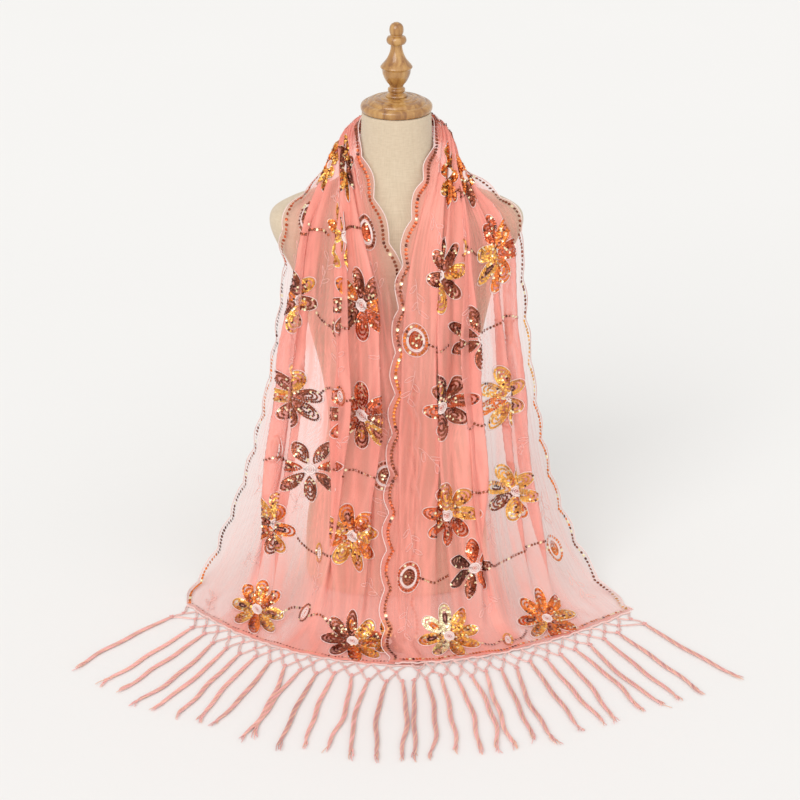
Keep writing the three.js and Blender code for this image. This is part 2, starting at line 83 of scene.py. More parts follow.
# The outer edge, middle and inner edge of the net at each row, then the depth and the lean of its folds.
STOLE_ROWS = np.array([
    [-336, -119, 0.9, -170, -252, 0.9, 36, -298, 0.9, 0, 0],
    [-329, -76, 0.9, -158, -212, 0.9, 30, -262, 0.9, 0.6, 0],
    [-319, -46, 7, -149, -183, 7, 28, -230, 4, 5, 0.2],
    [-300, -32, 34, -141, -163, 34, 27, -202, 32, 10, 0.4],
    [-279, -28, 84, -134, -150, 84, 26, -181, 82, 15, 0.6],
    [-257, -28, 140, -127, -141, 142, 25, -167, 142, 18, 0.8],
    [-235, -28, 207, -119, -134, 208, 24, -156, 208, 21, 0.9],
    [-213, -28, 291, -112, -127, 292, 23, -148, 292, 22, 1],
    [-196, -29, 370, -106, -124, 371, 22, -142, 371, 22, 1],
    [-183, -33, 450, -102, -125, 449, 18, -136, 450, 21, 1],
    [-172, -44, 525, -99, -124, 518, 8, -129, 520, 19, 1],
    [-164, -50, 590, -96, -112, 584, -6, -117, 587, 16, 0.9],
    [-154, -40, 640, -93, -96, 636, -26, -100, 643, 13, 0.8],
    [-132, -4, 666, -88, -66, 676, -42, -74, 688, 10, 0.6],
    [-106, 20, 692, -84, -26, 708, -56, -38, 728, 7, 0.4],
    [-86, 44, 712, -79, 14, 738, -61, 2, 757, 5, 0],
    [-50, 77, 720, -58, 62, 746, -46, 45, 770, 4, 0],
    [0, 91, 724, 0, 84, 748, 0, 65, 773, 4, 0],
    [50, 77, 724, 58, 62, 749, 46, 45, 773, 4, 0],
    [84, 44, 718, 79, 14, 742, 61, 2, 760, 5, 0],
    [92, 16, 708, 85, -28, 712, 56, -38, 728, 7, 0.4],
    [112, -2, 688, 94, -68, 676, 42, -72, 694, 10, 0.6],
    [152, -16, 660, 102, -94, 636, 29, -96, 656, 13, 0.8],
    [182, -38, 628, 107, -114, 590, 17, -118, 606, 16, 0.9],
    [189, -42, 560, 108, -126, 532, 10, -138, 548, 19, 1],
    [197, -34, 480, 109, -129, 462, 5, -148, 474, 21, 1],
    [208, -30, 390, 113, -130, 384, 3, -153, 392, 22, 1],
    [222, -29, 300, 119, -133, 303, -2, -157, 306, 22, 1],
    [239, -30, 216, 126, -138, 220, -6, -164, 220, 21, 0.9],
    [260, -32, 145, 134, -145, 148, -9, -174, 148, 18, 0.8],
    [283, -38, 88, 143, -155, 90, -12, -188, 92, 15, 0.6],
    [309, -50, 38, 152, -170, 40, -13, -208, 42, 10, 0.4],
    [333, -70, 8, 160, -190, 10, -12, -232, 15, 5, 0.2],
    [351, -98, 0.9, 168, -216, 2.6, -8, -258, 6, 0.6, 0],
    [373, -140, 0.9, 180, -256, 2.4, -2, -292, 3.6, 0, 0],
], float)

# Across the net: the middle of each ridge, half its width, its share of the depth and the side it leans to.
UNDER_FOLDS = [
    (0.19, 0.05, 0.8, 1), (0.275, 0.045, 1, -1), (0.35, 0.035, 0.7, -1), (0.56, 0.05, 1, 1),
    (0.65, 0.045, 0.8, -1), (0.74, 0.045, 0.9, 1), (0.83, 0.04, 0.2, -1), (0.92, 0.04, 0.15, 1),
]
OVER_FOLDS = [
    (0.15, 0.04, 0.4, 1), (0.24, 0.045, 0.9, -1), (0.32, 0.035, 0.6, -1), (0.48, 0.05, 1, 1),
    (0.58, 0.045, 1, -1), (0.67, 0.04, 0.7, 1), (0.8, 0.045, 0.5, -1), (0.93, 0.035, 0.4, 1),
]

# Across the net: how many thicknesses of net the gathers there make, seen from in front.
UNDER_GATHERS = [
    (0, 1), (0.14, 1), (0.19, 1.5), (0.225, 3), (0.35, 3.3), (0.385, 1.7), (0.46, 1.8), (0.5, 3.8),
    (0.85, 3.6), (0.9, 1.9), (1, 1.5),
]
OVER_GATHERS = [
    (0, 1), (0.13, 1), (0.18, 1.5), (0.22, 2.3), (0.32, 2.4), (0.36, 1.2), (0.42, 1.4), (0.46, 3.8),
    (0.66, 3.7), (0.7, 2.1), (0.76, 2.1), (0.8, 3.6), (1, 3.3),
]


def unit(vectors):
    """The same directions, one long."""
    return vectors / np.maximum(np.linalg.norm(vectors, axis=-1, keepdims=True), 1e-9)


def run(points):
    """How far along a path each of its points is."""
    return np.concatenate([[0], np.cumsum(np.linalg.norm(np.diff(points, axis=0), axis=1))])


def circle(count):
    """Angles spaced evenly round a circle."""
    return np.linspace(0, 2 * math.pi, count, endpoint=False)


def wave(turns):
    """A wave between 0 and 1 over a number of turns."""
    return 0.5 + 0.5 * np.sin(2 * math.pi * turns)


def left_of(way):
    """The level direction at right angles to another, on its left."""
    return np.array([-way[1], way[0], 0])


def smooth(knots, values, at):
    """A smooth curve through a table: knots are where its rows lie, values what they are there."""
    values = values.reshape(len(knots), -1)
    at = np.asarray(at, float)
    last = len(knots) - 1
    i = np.clip(np.searchsorted(knots, at, side="left") - 1, 0, last - 1)
    before = np.maximum(np.arange(last + 1) - 1, 0)
    after = np.minimum(np.arange(last + 1) + 1, last)
    slopes = (values[after] - values[before]) / (knots[after] - knots[before])[:, None]
    step = (knots[i + 1] - knots[i])[..., None]
    t = (at - knots[i])[..., None] / step
    rise = t * t * (3 - 2 * t)
    bend = step * (slopes[i] * t * (1 - t) ** 2 - slopes[i + 1] * t * t * (1 - t))
    return values[i] * (1 - rise) + values[i + 1] * rise + bend


def form_section(z):
    """Half the form's width, and its reach forward and back, at each height."""
    sizes = smooth(FORM_SECTIONS[:, 0], FORM_SECTIONS[:, 1:], np.clip(z, 0, NECK_TOP))
    return sizes[..., 0], sizes[..., 1], sizes[..., 2]


def bust_swell(x, z):
    """How far the bust stands out in front."""
    aside = (np.abs(x) - BUST["apart"]) / BUST["spread"]
    rise = (z - BUST["height"]) / BUST["rise"]
    return BUST["swell"] * np.exp(-aside * aside - rise * rise)


def form_level(points):
    """0 on the form's surface, growing outwards."""
    x, y, z = points[..., 0], points[..., 1], np.clip(points[..., 2], 0, NECK_TOP)
    half, front, back = form_section(z)
    depth = np.where(y < 0, front + bust_swell(x, z), back)
    reach = (np.abs(x) / half) ** FORM_EXPONENT + (np.abs(y) / depth) ** FORM_EXPONENT
    return reach ** (1 / FORM_EXPONENT) - 1


def clear_of_form(points):
    """Points moved outwards until they are clear of the form, and left alone where they already are."""
    step = 0.5
    free = FORM_CLEARANCE + LIFT_OFF
    moved = points.reshape(-1, 3).copy()
    near = np.arange(len(moved))
    for turn in range(3):
        at = moved[near]
        level = form_level(at)
        slope = np.stack([(form_level(at + step * axis) - level) / step for axis in np.eye(3)], axis=-1)
        steepness = np.linalg.norm(slope, axis=-1)
        gap = level / steepness
        lift = LIFT_OFF * np.exp((gap - free) / LIFT_OFF) if turn == 0 else 0
        short = np.where(gap < free, np.maximum(FORM_CLEARANCE + lift - gap, 0), 0)
        moved[near] = at + slope * (short / steepness)[:, None]
        near = near[gap < free]
    return moved.reshape(points.shape)


ALONG = run(STOLE_ROWS[:, 3:6])
LENGTH = float(ALONG[-1])
NECK_MIDDLE = float(ALONG[14] + ALONG[20]) / 2
NECK_FADE = 60


def pressed(across, at):
    """Points of the stole with its folds pressed flat."""
    across, at = np.broadcast_arrays(np.asarray(across, float), np.asarray(at, float))
    edges = smooth(ALONG, STOLE_ROWS[:, :9], at)
    a = across[..., None]
    points = (
        edges[..., 0:3] * (1 - a) * (1 - 2 * a)
        + edges[..., 3:6] * 4 * a * (1 - a)
        + edges[..., 6:9] * a * (2 * a - 1)
    )
    points[..., 2] = np.maximum(points[..., 2], LAID_HEIGHT)
    return clear_of_form(points)


# ---------------------------------------------------------------- the cloth's own grid

CLOTH_WIDTH = 430.0  # between the two scalloped borders
COLUMNS = 196
BORDER_COLUMNS = 7
ROW_STEP = 4.85
ROWS = int(round(LENGTH / ROW_STEP)) + 1
FINE = 560  # points across the net from which its columns are spaced
FOLD_LEAN = 1.25  # how far a fold leans over, for its height
HUNG_FROM = 40  # from a hem, along the net, to where it starts to leave the surface
HUNG_OVER = 160
BUNCHED = 230  # how far along the net the gathers behind the neck reach


def border_reach(v):
    """How far the scalloped border reaches past the net's edge."""
    return BORDER_WIDTH + SCALLOP_DEPTH * np.abs(np.sin(math.pi * v / SCALLOP_LENGTH))


def wander(at, waves, size):
    """A slow, uneven drift along the cloth."""
    total = np.zeros_like(at)
    for length, phase in waves:
        total = total + np.sin(2 * math.pi * at / length + phase)
    return size * total / len(waves)


def folded(across, at):
    """The net's points, with its folds and the fine gathers between them."""
    rows = smooth(ALONG, STOLE_ROWS[:, 9:11], at)
    faded = np.minimum(np.abs(at - NECK_MIDDLE) / NECK_FADE, 1)
    depth = np.maximum(rows[..., 0], 0) * faded
    lean = rows[..., 1]
    out = np.zeros_like(across)
    aside = np.zeros_like(across)
    for folds, own in ((UNDER_FOLDS, at < NECK_MIDDLE), (OVER_FOLDS, at >= NECK_MIDDLE)):
        for k, (middle, half, height, side) in enumerate(folds):
            drift = wander(at, [(540, 1.3 * k), (290, 2.1 * k + 1)], 0.005)
            off = (across - middle - drift) / half
            swell = 1 + wander(at, [(460, 2.7 * k), (250, 0.9 * k)], 0.2)
            ridge = np.where(own & (np.abs(off) < 1), (1 + np.cos(math.pi * off)) / 2, 0)
            stand = depth * height * swell * ridge
            out = np.maximum(out, stand)
            aside = aside + stand * lean * side * FOLD_LEAN
    # Fine gathers: close and shallow on the body, deeper where the net bunches up round the neck.
    bunched = np.exp(-(((at - NECK_MIDDLE) / BUNCHED) ** 2))
    hung = np.clip((at - HUNG_FROM) / HUNG_OVER, 0, 1)
    hung = hung * np.clip((LENGTH - HUNG_FROM - at) / HUNG_OVER, 0, 1)
    rim = np.clip(np.minimum(across, 1 - across) / 0.05, 0, 1)
    fine = np.zeros_like(across)
    for k, count in enumerate((17, 26, 39)):
        turn = count * across + wander(at, [(420, k), (233, 2 * k + 0.7)], 0.5)
        patch = 0.5 + 0.5 * np.sin(2 * math.pi * (3.3 * across + at / (350 + 90 * k)) + 2 * k)
        fine = fine + wave(turn) * patch / (1 + 0.6 * k)
    gathers = fine * rim * hung * (1.7 + 1.8 * bunched)
    laid = (1 - hung) * rim * 1.6 * wave(7 * across + at / 140)
    step = pressed(np.array([0, 0.5, 1]), at[:, :1])
    width = np.linalg.norm(np.diff(step, axis=1), axis=-1).sum(axis=1)[:, None]
    moved = np.clip(across + aside / width, 0, 1)
    points = pressed(moved, at)
    beside = pressed(np.clip(moved + 0.004, 0, 1), at) - pressed(np.clip(moved - 0.004, 0, 1), at)
    onward = pressed(moved, np.clip(at + 2, 0, LENGTH)) - pressed(moved, np.clip(at - 2, 0, LENGTH))
    outward = unit(np.cross(beside, onward))
    return points + outward * (out + gathers + laid)[..., None], outward


def cloth_grid():
    """Every point of the net, evenly spaced over the cloth, with its normal and its sideways direction there,
    how squarely it faces out of the drape, and where the point lies across the drape, from 0 to 1."""
    at = np.linspace(0, LENGTH, ROWS)[:, None] * np.ones((1, FINE))
    across = np.linspace(0, 1, FINE)[None, :] * np.ones((ROWS, 1))
    points, outward = folded(across, at)
    reach = np.concatenate(
        [np.zeros((ROWS, 1)), np.cumsum(np.linalg.norm(np.diff(points, axis=1), axis=-1), axis=1)], axis=1
    )
    share = np.linspace(0, 1, COLUMNS + 1)
    grid = np.empty((ROWS, COLUMNS + 1, 3))
    flat_way = np.empty((ROWS, COLUMNS + 1, 3))
    shares_across = np.empty((ROWS, COLUMNS + 1))
    for k in range(ROWS):
        places = np.interp(share * reach[k, -1], reach[k], np.arange(FINE))
        shares_across[k] = places / (FINE - 1)
        for axis in range(3):
            grid[k, :, axis] = np.interp(places, np.arange(FINE), points[k, :, axis])
            flat_way[k, :, axis] = np.interp(places, np.arange(FINE), outward[k, :, axis])
    along = at[:, 0]
    bulge = border_reach(along)
    sides = []
    for rim, inside in ((0.0, 0.012), (1.0, 0.988)):
        start = pressed(rim, along)
        outwards = unit(start - pressed(inside, along))
        shares = np.linspace(0, 1, BORDER_COLUMNS + 1)[1:]
        strip = start[:, None] + outwards[:, None] * (shares[None, :] * bulge[:, None])[..., None]
        flutter = 0.8 * np.sin(2 * math.pi * along / 47)[:, None] * shares[None, :] ** 2
        strip = clear_of_form(strip + flat_way[:, :1] * flutter[..., None])
        strip[..., 2] = np.maximum(strip[..., 2], LAID_HEIGHT)
        sides.append(strip)
    grid = np.concatenate([sides[0][:, ::-1], grid, sides[1]], axis=1)
    grid[..., 2] = np.maximum(grid[..., 2], LAID_HEIGHT)
    borders = (BORDER_COLUMNS, BORDER_COLUMNS)
    flat_way = np.pad(flat_way, ((0, 0), borders, (0, 0)), mode="edge")
    sideways = np.gradient(grid, axis=1)
    onward = np.gradient(grid, axis=0)
    normal = unit(np.cross(sideways, onward))
    facing = np.clip(np.abs((normal * flat_way).sum(axis=-1)), 0.3, 1)
    shares_across = np.pad(shares_across, ((0, 0), borders), mode="edge")
    return grid, normal, unit(sideways), facing, shares_across


GRID, NORMAL, SIDEWAYS, FACING, ACROSS = cloth_grid()


def sample(table, u, v):
    """A table over the cloth's grid, read at places on the cloth."""
    reach = border_reach(v)
    column = np.where(
        u < 0,
        BORDER_COLUMNS * (1 + u / reach),
        np.where(
            u > CLOTH_WIDTH,
            BORDER_COLUMNS + COLUMNS + BORDER_COLUMNS * (u - CLOTH_WIDTH) / reach,
            BORDER_COLUMNS + COLUMNS * u / CLOTH_WIDTH,
        ),
    )
    row = v / LENGTH * (ROWS - 1)
    column = np.clip(column, 0, table.shape[1] - 1.001)
    row = np.clip(row, 0, ROWS - 1.001)
    i, k = column.astype(int), row.astype(int)
    s, t = (column - i)[:, None], (row - k)[:, None]
    near = table[k, i] * (1 - s) + table[k, i + 1] * s
    far = table[k + 1, i] * (1 - s) + table[k + 1, i + 1] * s
    return near * (1 - t) + far * t


# ---------------------------------------------------------------- meshes

def mesh_object(name, points, faces, material, shade_smooth=True):
    """A mesh of millimetre points, riding on the part."""
    mesh = bpy.data.meshes.new(name)
    faces = faces.tolist() if isinstance(faces, np.ndarray) else faces
    mesh.from_pydata((np.asarray(points, float) * MM).tolist(), [], faces)
    mesh.polygons.foreach_set("use_smooth", np.full(len(mesh.polygons), shade_smooth))
    mesh.materials.append(material)
    mesh.update()
    obj = bpy.data.objects.new(name, mesh)
    bpy.context.scene.collection.objects.link(obj)
    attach(obj, "root")
    return obj


def paint(obj, colours):
    """A colour for each point of a mesh, which its material reads."""
    attribute = obj.data.color_attributes.new("tint", "FLOAT_COLOR", "POINT")
    rgba = np.concatenate([colours, np.ones((len(colours), 1))], axis=1)
    attribute.data.foreach_set("color", rgba.astype(np.float32).ravel())


class Tubes:
    """Many round tubes gathered into one mesh."""

    def __init__(self, sides):
        self.sides = sides
        self.points, self.faces, self.colours, self.count = [], [], [], 0

    def add(self, path, radius, colour, closed=False):
        """A tube on a path. radius is one number, or one for each point of the path."""
        path = np.asarray(path, float)
        n = len(path)
        if closed:
            way = unit(np.roll(path, -1, axis=0) - np.roll(path, 1, axis=0))
        else:
            way = unit(np.gradient(path, axis=0))
        up = np.where(np.abs(way[:, 2:3]) > 0.95, np.array([[1.0, 0, 0]]), np.array([[0, 0, 1.0]]))
        first = unit(np.cross(way, up))
        second = np.cross(way, first)
        turn = 2 * math.pi * np.arange(self.sides) / self.sides
        ring = first[:, None] * np.cos(turn)[:, None] + second[:, None] * np.sin(turn)[:, None]
        radius = np.broadcast_to(np.asarray(radius, float), (n,))
        points = (path[:, None] + ring * radius[:, None, None]).reshape(-1, 3)
        i = np.arange(self.sides)
        j = (i + 1) % self.sides
        rows = np.arange(n if closed else n - 1)
        a = (rows * self.sides)[:, None]
        b = (((rows + 1) % n) * self.sides)[:, None]
        quads = np.stack([a + i, b + i, b + j, a + j], axis=-1).reshape(-1, 4)
        self.points.append(points)
        self.faces.extend((quads + self.count).tolist())
        if not closed:
            self.faces.append([self.count + int(k) for k in i])
            self.faces.append([self.count + (n - 1) * self.sides + int(k) for k in i[::-1]])
        self.colours.append(np.broadcast_to(np.asarray(colour, float), (len(points), 3)))
        self.count += len(points)

    def build(self, name, material):
        """The mesh of all the tubes."""
        points = np.concatenate(self.points)
        points[:, 2] = np.maximum(points[:, 2], 0.05)
        obj = mesh_object(name, points, self.faces, material)
        paint(obj, np.concatenate(self.colours))
        return obj


# ---------------------------------------------------------------- materials

def material(name):
    """A new material with its node tree and its Principled shader."""
    made = bpy.data.materials.new(name)
    made.use_nodes = True
    return made, made.node_tree, made.node_tree.nodes["Principled BSDF"]


def fill(tree, node, inputs):
    """Constants or links for a node's inputs."""
    for key, value in inputs.items():
        if isinstance(value, bpy.types.NodeSocket):
            tree.links.new(value, node.inputs[key])
        else:
            node.inputs[key].default_value = value


def add(tree, kind, inputs=None, **settings):
    """A node with its settings and its inputs."""
    made = tree.nodes.new(kind)
    for key, value in settings.items():
        setattr(made, key, value)
    fill(tree, made, inputs or {})
    return made


def position(tree):
    """The place of each point of the surface."""
    return add(tree, "ShaderNodeNewGeometry").outputs["Position"]


def carried(tree, name, output):
    """What a mesh carries under a name for each of its points."""
    return add(tree, "ShaderNodeAttribute", attribute_name=name).outputs[output]


def noise(tree, place, scale, detail, distortion=0.0):
    """Soft, uneven patches."""
    inputs = {"Vector": place, "Scale": scale, "Detail": detail, "Distortion": distortion}
    return add(tree, "ShaderNodeTexNoise", inputs).outputs["Fac"]


def bands(tree, place, scale, distortion, detail, direction):
    """Fine bands side by side."""
    inputs = {"Vector": place, "Scale": scale, "Distortion": distortion, "Detail": detail}
    return add(tree, "ShaderNodeTexWave", inputs, bands_direction=direction).outputs["Fac"]


def stretch(tree, place, scale):
    """Places scaled by a different amount each way."""
    return add(tree, "ShaderNodeMapping", {"Vector": place, "Scale": scale}).outputs[0]


def spread(tree, value, low, high, top=1.0):
    """A value between 0 and top, made to run from low to high."""
    inputs = {"Value": value, "From Max": top, "To Min": low, "To Max": high}
    return add(tree, "ShaderNodeMapRange", inputs).outputs[0]


def maths(tree, operation, first, second, **settings):
    """Two numbers put together."""
    inputs = {0: first, 1: second}
    return add(tree, "ShaderNodeMath", inputs, operation=operation, **settings).outputs[0]


def shaded(tree, colour, shade):
    """A colour made darker or lighter."""
    inputs = {0: colour, 1: shade}
    return add(tree, "ShaderNodeVectorMath", inputs, operation="MULTIPLY").outputs[0]


def bump(tree, height, strength, distance):
    """A normal that follows a height."""
    inputs = {"Height": height, "Strength": strength, "Distance": distance}
    return add(tree, "ShaderNodeBump", inputs).outputs["Normal"]


def ramp(tree, fac, stops):
    """A colour ramp with the stops given."""
    made = add(tree, "ShaderNodeValToRGB", {"Fac": fac})
    elements = made.color_ramp.elements
    while len(elements) < len(stops):
        elements.new(0.5)
    for element, (place, colour) in zip(elements, stops):
        element.position = place
        element.color = (*colour, 1)
    return made.outputs["Color"]


def net_material():
    """Sheer net: see-through between its threads, thicker to the eye on the flank of a fold."""
    made, tree, shader = material("sheer_net")
    cloth = add(tree, "ShaderNodeUVMap", uv_map="cloth").outputs["UV"]
    broad = noise(tree, cloth, 9.0, 4.0)
    weave = maths(tree, "MAXIMUM", *[bands(tree, cloth, 340.0, 0.6, 1.0, way) for way in "XY"])
    thickness = maths(tree, "MULTIPLY", spread(tree, broad, 0.86, 1.14), spread(tree, weave, 0.62, 1.2))
    fill(tree, shader, {
        "Base Color": ramp(tree, broad, [(0.3, (0.91, 0.315, 0.250)), (0.7, (0.95, 0.385, 0.315))]),
        "Alpha": maths(tree, "MULTIPLY", thickness, carried(tree, "closeness", "Fac"), use_clamp=True),
        "Normal": bump(tree, weave, 0.25, 0.0003),
        "Roughness": 0.62, "Specular IOR Level": 0.25,
        "Sheen Weight": 0.35, "Sheen Roughness": 0.4, "Sheen Tint": (1.0, 0.72, 0.66, 1),
    })
    return made


def sequin_material():
    """Foil sequins, each with its own colour."""
    made, tree, shader = material("sequin_foil")
    cloudy = noise(tree, position(tree), 900.0, 2.0)
    fill(tree, shader, {
        "Base Color": shaded(tree, carried(tree, "tint", "Color"), spread(tree, cloudy, 0.8, 1.15)),
        "Roughness": spread(tree, cloudy, 0.16, 0.34),
        "Metallic": 0.85, "Coat Weight": 0.3, "Coat Roughness": 0.08,
    })
    return made


def thread_material(name, strands, roughness):
    """Twisted thread: fine strands round it, in the colour that its mesh gives, with painted shade between
    the strands.
    """
    made, tree, shader = material(name)
    twist = bands(tree, position(tree), strands, 2.5, 2.0, "DIAGONAL")
    fill(tree, shader, {
        # Painted shade: the twist's bands darken the colour in the grooves between strands, where the bump
        # also sinks.
        "Base Color": shaded(tree, carried(tree, "tint", "Color"), spread(tree, twist, 0.82, 1.08)),
        "Normal": bump(tree, twist, 0.5, 0.0002),
        "Roughness": roughness, "Specular IOR Level": 0.3,
        "Sheen Weight": 0.5, "Sheen Roughness": 0.35,
    })
    return made


def linen_material():
    """A fine natural linen cover, with slubs in its weave and painted shade between its threads."""
    made, tree, shader = material("form_linen")
    place = add(tree, "ShaderNodeUVMap", uv_map="cover").outputs["UV"]
    weave = maths(tree, "ADD", *[bands(tree, place, 260.0, 1.2, 2.0, way) for way in "XY"])
    slubs = [noise(tree, stretch(tree, place, ways), 1.0, 3.0) for ways in ((520, 60, 1), (50, 480, 1))]
    uneven = maths(tree, "ADD", *slubs)
    colour = ramp(tree, maths(tree, "MULTIPLY", uneven, 0.5), [
        (0.3, (0.565, 0.45, 0.315)), (0.5, (0.635, 0.515, 0.37)), (0.7, (0.69, 0.575, 0.43)),
    ])
    fill(tree, shader, {
        # Painted shade: the weave darkens the colour between the threads, where its bump sinks.
        "Base Color": shaded(tree, colour, spread(tree, weave, 0.93, 1.05, top=2.0)),
        "Normal": bump(tree, maths(tree, "ADD", weave, uneven), 0.35, 0.0003),
        "Roughness": 0.92, "Sheen Weight": 0.2,
    })
    return made


def wood_material():
    """Turned, stained and varnished wood: its grain runs up the finial and across the cap."""
    made, tree, shader = material("turned_wood")
    place = position(tree)
    figure = noise(tree, stretch(tree, place, (70, 60, 9)), 1.6, 6.0, distortion=0.6)
    pores = noise(tree, stretch(tree, place, (900, 900, 45)), 1.0, 2.0)
    colour = ramp(tree, figure, [
        (0.25, (0.22, 0.08, 0.017)), (0.45, (0.39, 0.18, 0.043)),
        (0.6, (0.51, 0.27, 0.078)), (0.8, (0.62, 0.38, 0.14)),
    ])
    fill(tree, shader, {
        "Base Color": shaded(tree, colour, spread(tree, pores, 0.78, 1.12)),
        "Roughness": spread(tree, pores, 0.28, 0.42),
        "Normal": bump(tree, pores, 0.12, 0.0002),
        "Coat Weight": 0.7, "Coat Roughness": 0.1,
    })
    return made


# ---------------------------------------------------------------- the dress form, its cap and finial

def grid_faces(rows, columns, around):
    """The quads of a grid of points, joined up sideways where it goes around."""
    k = np.arange(rows - 1)[:, None]
    i = np.arange(columns if around else columns - 1)[None, :]
    j = (i + 1) % columns
    quads = [k * columns + i, k * columns + j, (k + 1) * columns + j, (k + 1) * columns + i]
    return np.stack(np.broadcast_arrays(*quads), axis=-1).reshape(-1, 4)


def stack_faces(rings, around):
    """The faces of a stack of rings, closed at both ends."""
    faces = grid_faces(rings, around, True).tolist()
    faces.append(list(range(around))[::-1])
    faces.append([(rings - 1) * around + i for i in range(around)])
    return faces


def lay_out(obj, name, coordinates):
    """A UV map in metres from the coordinates of each point."""
    layer = obj.data.uv_layers.new(name=name)
    corners = np.empty(len(obj.data.loops), int)
    obj.data.loops.foreach_get("vertex_index", corners)
    layer.data.foreach_set("uv", (np.asarray(coordinates)[corners] * MM).astype(np.float32).ravel())


FOOT_ROUNDING = 3
TOP_ROUNDING = 2
SEAM_WIDTH = 1.4
SEAM_DEPTH = 0.7
SEAMS = (0, math.pi / 2, math.pi, 1.36 * math.pi, 1.64 * math.pi)  # round the form, from its left side
COVER_RADIUS = 130  # the cover is laid out flat as if the form were this wide all the way up


def make_form():
    """The form's body: the CAD's sections, smooth, with rounded edges and shallow seams in its cover."""
    around = 180
    sides = np.linspace(FOOT_ROUNDING, 600, 150)
    shoulders = np.linspace(603, 670, 40)
    neck = np.linspace(673, NECK_TOP - TOP_ROUNDING, 46)
    turn = 2 * math.pi * np.arange(around) / around
    power = lambda value: np.sign(value) * np.abs(value) ** (2 / FORM_EXPONENT)
    rings, places = [], []
    heights = [0, 0.8, *sides, *shoulders, *neck, NECK_TOP - 0.6, NECK_TOP]
    for z in heights:
        half, front, back = form_section(np.array(z, float))
        shrink = 0
        if z < FOOT_ROUNDING:
            shrink = FOOT_ROUNDING - math.sqrt(FOOT_ROUNDING ** 2 - (FOOT_ROUNDING - z) ** 2)
        if z > NECK_TOP - TOP_ROUNDING:
            over = z - NECK_TOP + TOP_ROUNDING
            shrink = TOP_ROUNDING - math.sqrt(max(TOP_ROUNDING ** 2 - over ** 2, 0))
        seam = 0
        for at in SEAMS:
            away = (turn - at + math.pi) % (2 * math.pi) - math.pi
            seam = seam + np.exp(-(away * half / SEAM_WIDTH) ** 2)
        x = power(np.cos(turn))
        depth = np.where(np.sin(turn) < 0, front + bust_swell(half * x, z), back)
        level = np.full(around, float(z))
        points = np.stack([half * x, depth * power(np.sin(turn)), level], axis=-1)
        inward = unit(points * np.array([1, 1, 0]))
        rings.append(points - inward * (shrink + SEAM_DEPTH * seam)[:, None])
        places.append(np.stack([turn * COVER_RADIUS, level], axis=-1))
    points = np.concatenate(rings)
    obj = mesh_object("form_cover", points, stack_faces(len(rings), around), linen_material())
    lay_out(obj, "cover", np.concatenate(places))
    for end in list(obj.data.polygons)[-2:]:
        end.use_smooth = False
    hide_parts("form_body")
    return obj


GROOVE_WIDTH = 1.1
GROOVE_DEPTH = 1.2
GROOVES_ABOVE = 13  # the cap's top starts at this height


def turned_piece(name, profile, wood, node, grooves=()):
    """A turned piece on the neck's axis, its profile drawn smoothly through the CAD's. Its top has a ring
    cut in it at the radius of each groove."""
    profile = np.array(profile, float)
    steps = run(profile)
    fine = np.linspace(0, steps[-1], int(steps[-1] / 0.9))
    drawn = smooth(steps, profile, fine)
    drawn[:, 0] = np.maximum(drawn[:, 0], 1)
    for radius in grooves:
        cut = np.exp(-(((drawn[:, 0] - radius) / GROOVE_WIDTH) ** 2))
        drawn[:, 1] -= GROOVE_DEPTH * cut * (drawn[:, 1] > GROOVES_ABOVE)
    around = 96
    turn = 2 * math.pi * np.arange(around) / around
    rings = [
        np.stack([r * np.cos(turn), r * np.sin(turn), np.full(around, NECK_TOP + z)], axis=-1)
        for r, z in [(0.4, drawn[0, 1]), *drawn, (0.4, drawn[-1, 1] + 0.3)]
    ]
    obj = mesh_object(name, np.concatenate(rings), stack_faces(len(rings), around), wood)
    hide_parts(node)
    return obj


# ---------------------------------------------------------------- the trimmings sewn on the net

GOLD = (0.86, 0.40, 0.085)
ORANGE = (0.80, 0.20, 0.035)
RED = (0.58, 0.10, 0.03)
BROWN = (0.30, 0.070, 0.030)
# DARK is a dark brown sequin colour. The rows also scatter it as painted dark reflection: sequins that look
# dark where they mirror dark surroundings.
DARK = (0.14, 0.036, 0.022)
# Painted highlight: this pale gold stands for sequins catching a glint of light, not for a sequin colour.
GLINT_PALE_GOLD = (0.95, 0.80, 0.50)
CORD_PINK = (0.88, 0.58, 0.53)
CORD_WHITE = (0.93, 0.74, 0.70)
CORD_FAINT = (0.95, 0.56, 0.50)
YARN = (0.84, 0.43, 0.40)
# Painted highlight: strands in this gold tint stand for golden glints along the tassels.
YARN_GLINT = (0.84, 0.50, 0.36)


SINGLE_PETALS = 7
PAIR_PETALS = 8


def turned(u, v, angle, x, y):
    """Places round u, v: x along the way that the angle points, y across it."""
    ca, sa = math.cos(angle), math.sin(angle)
    return u + ca * x - sa * y, v + sa * x + ca * y


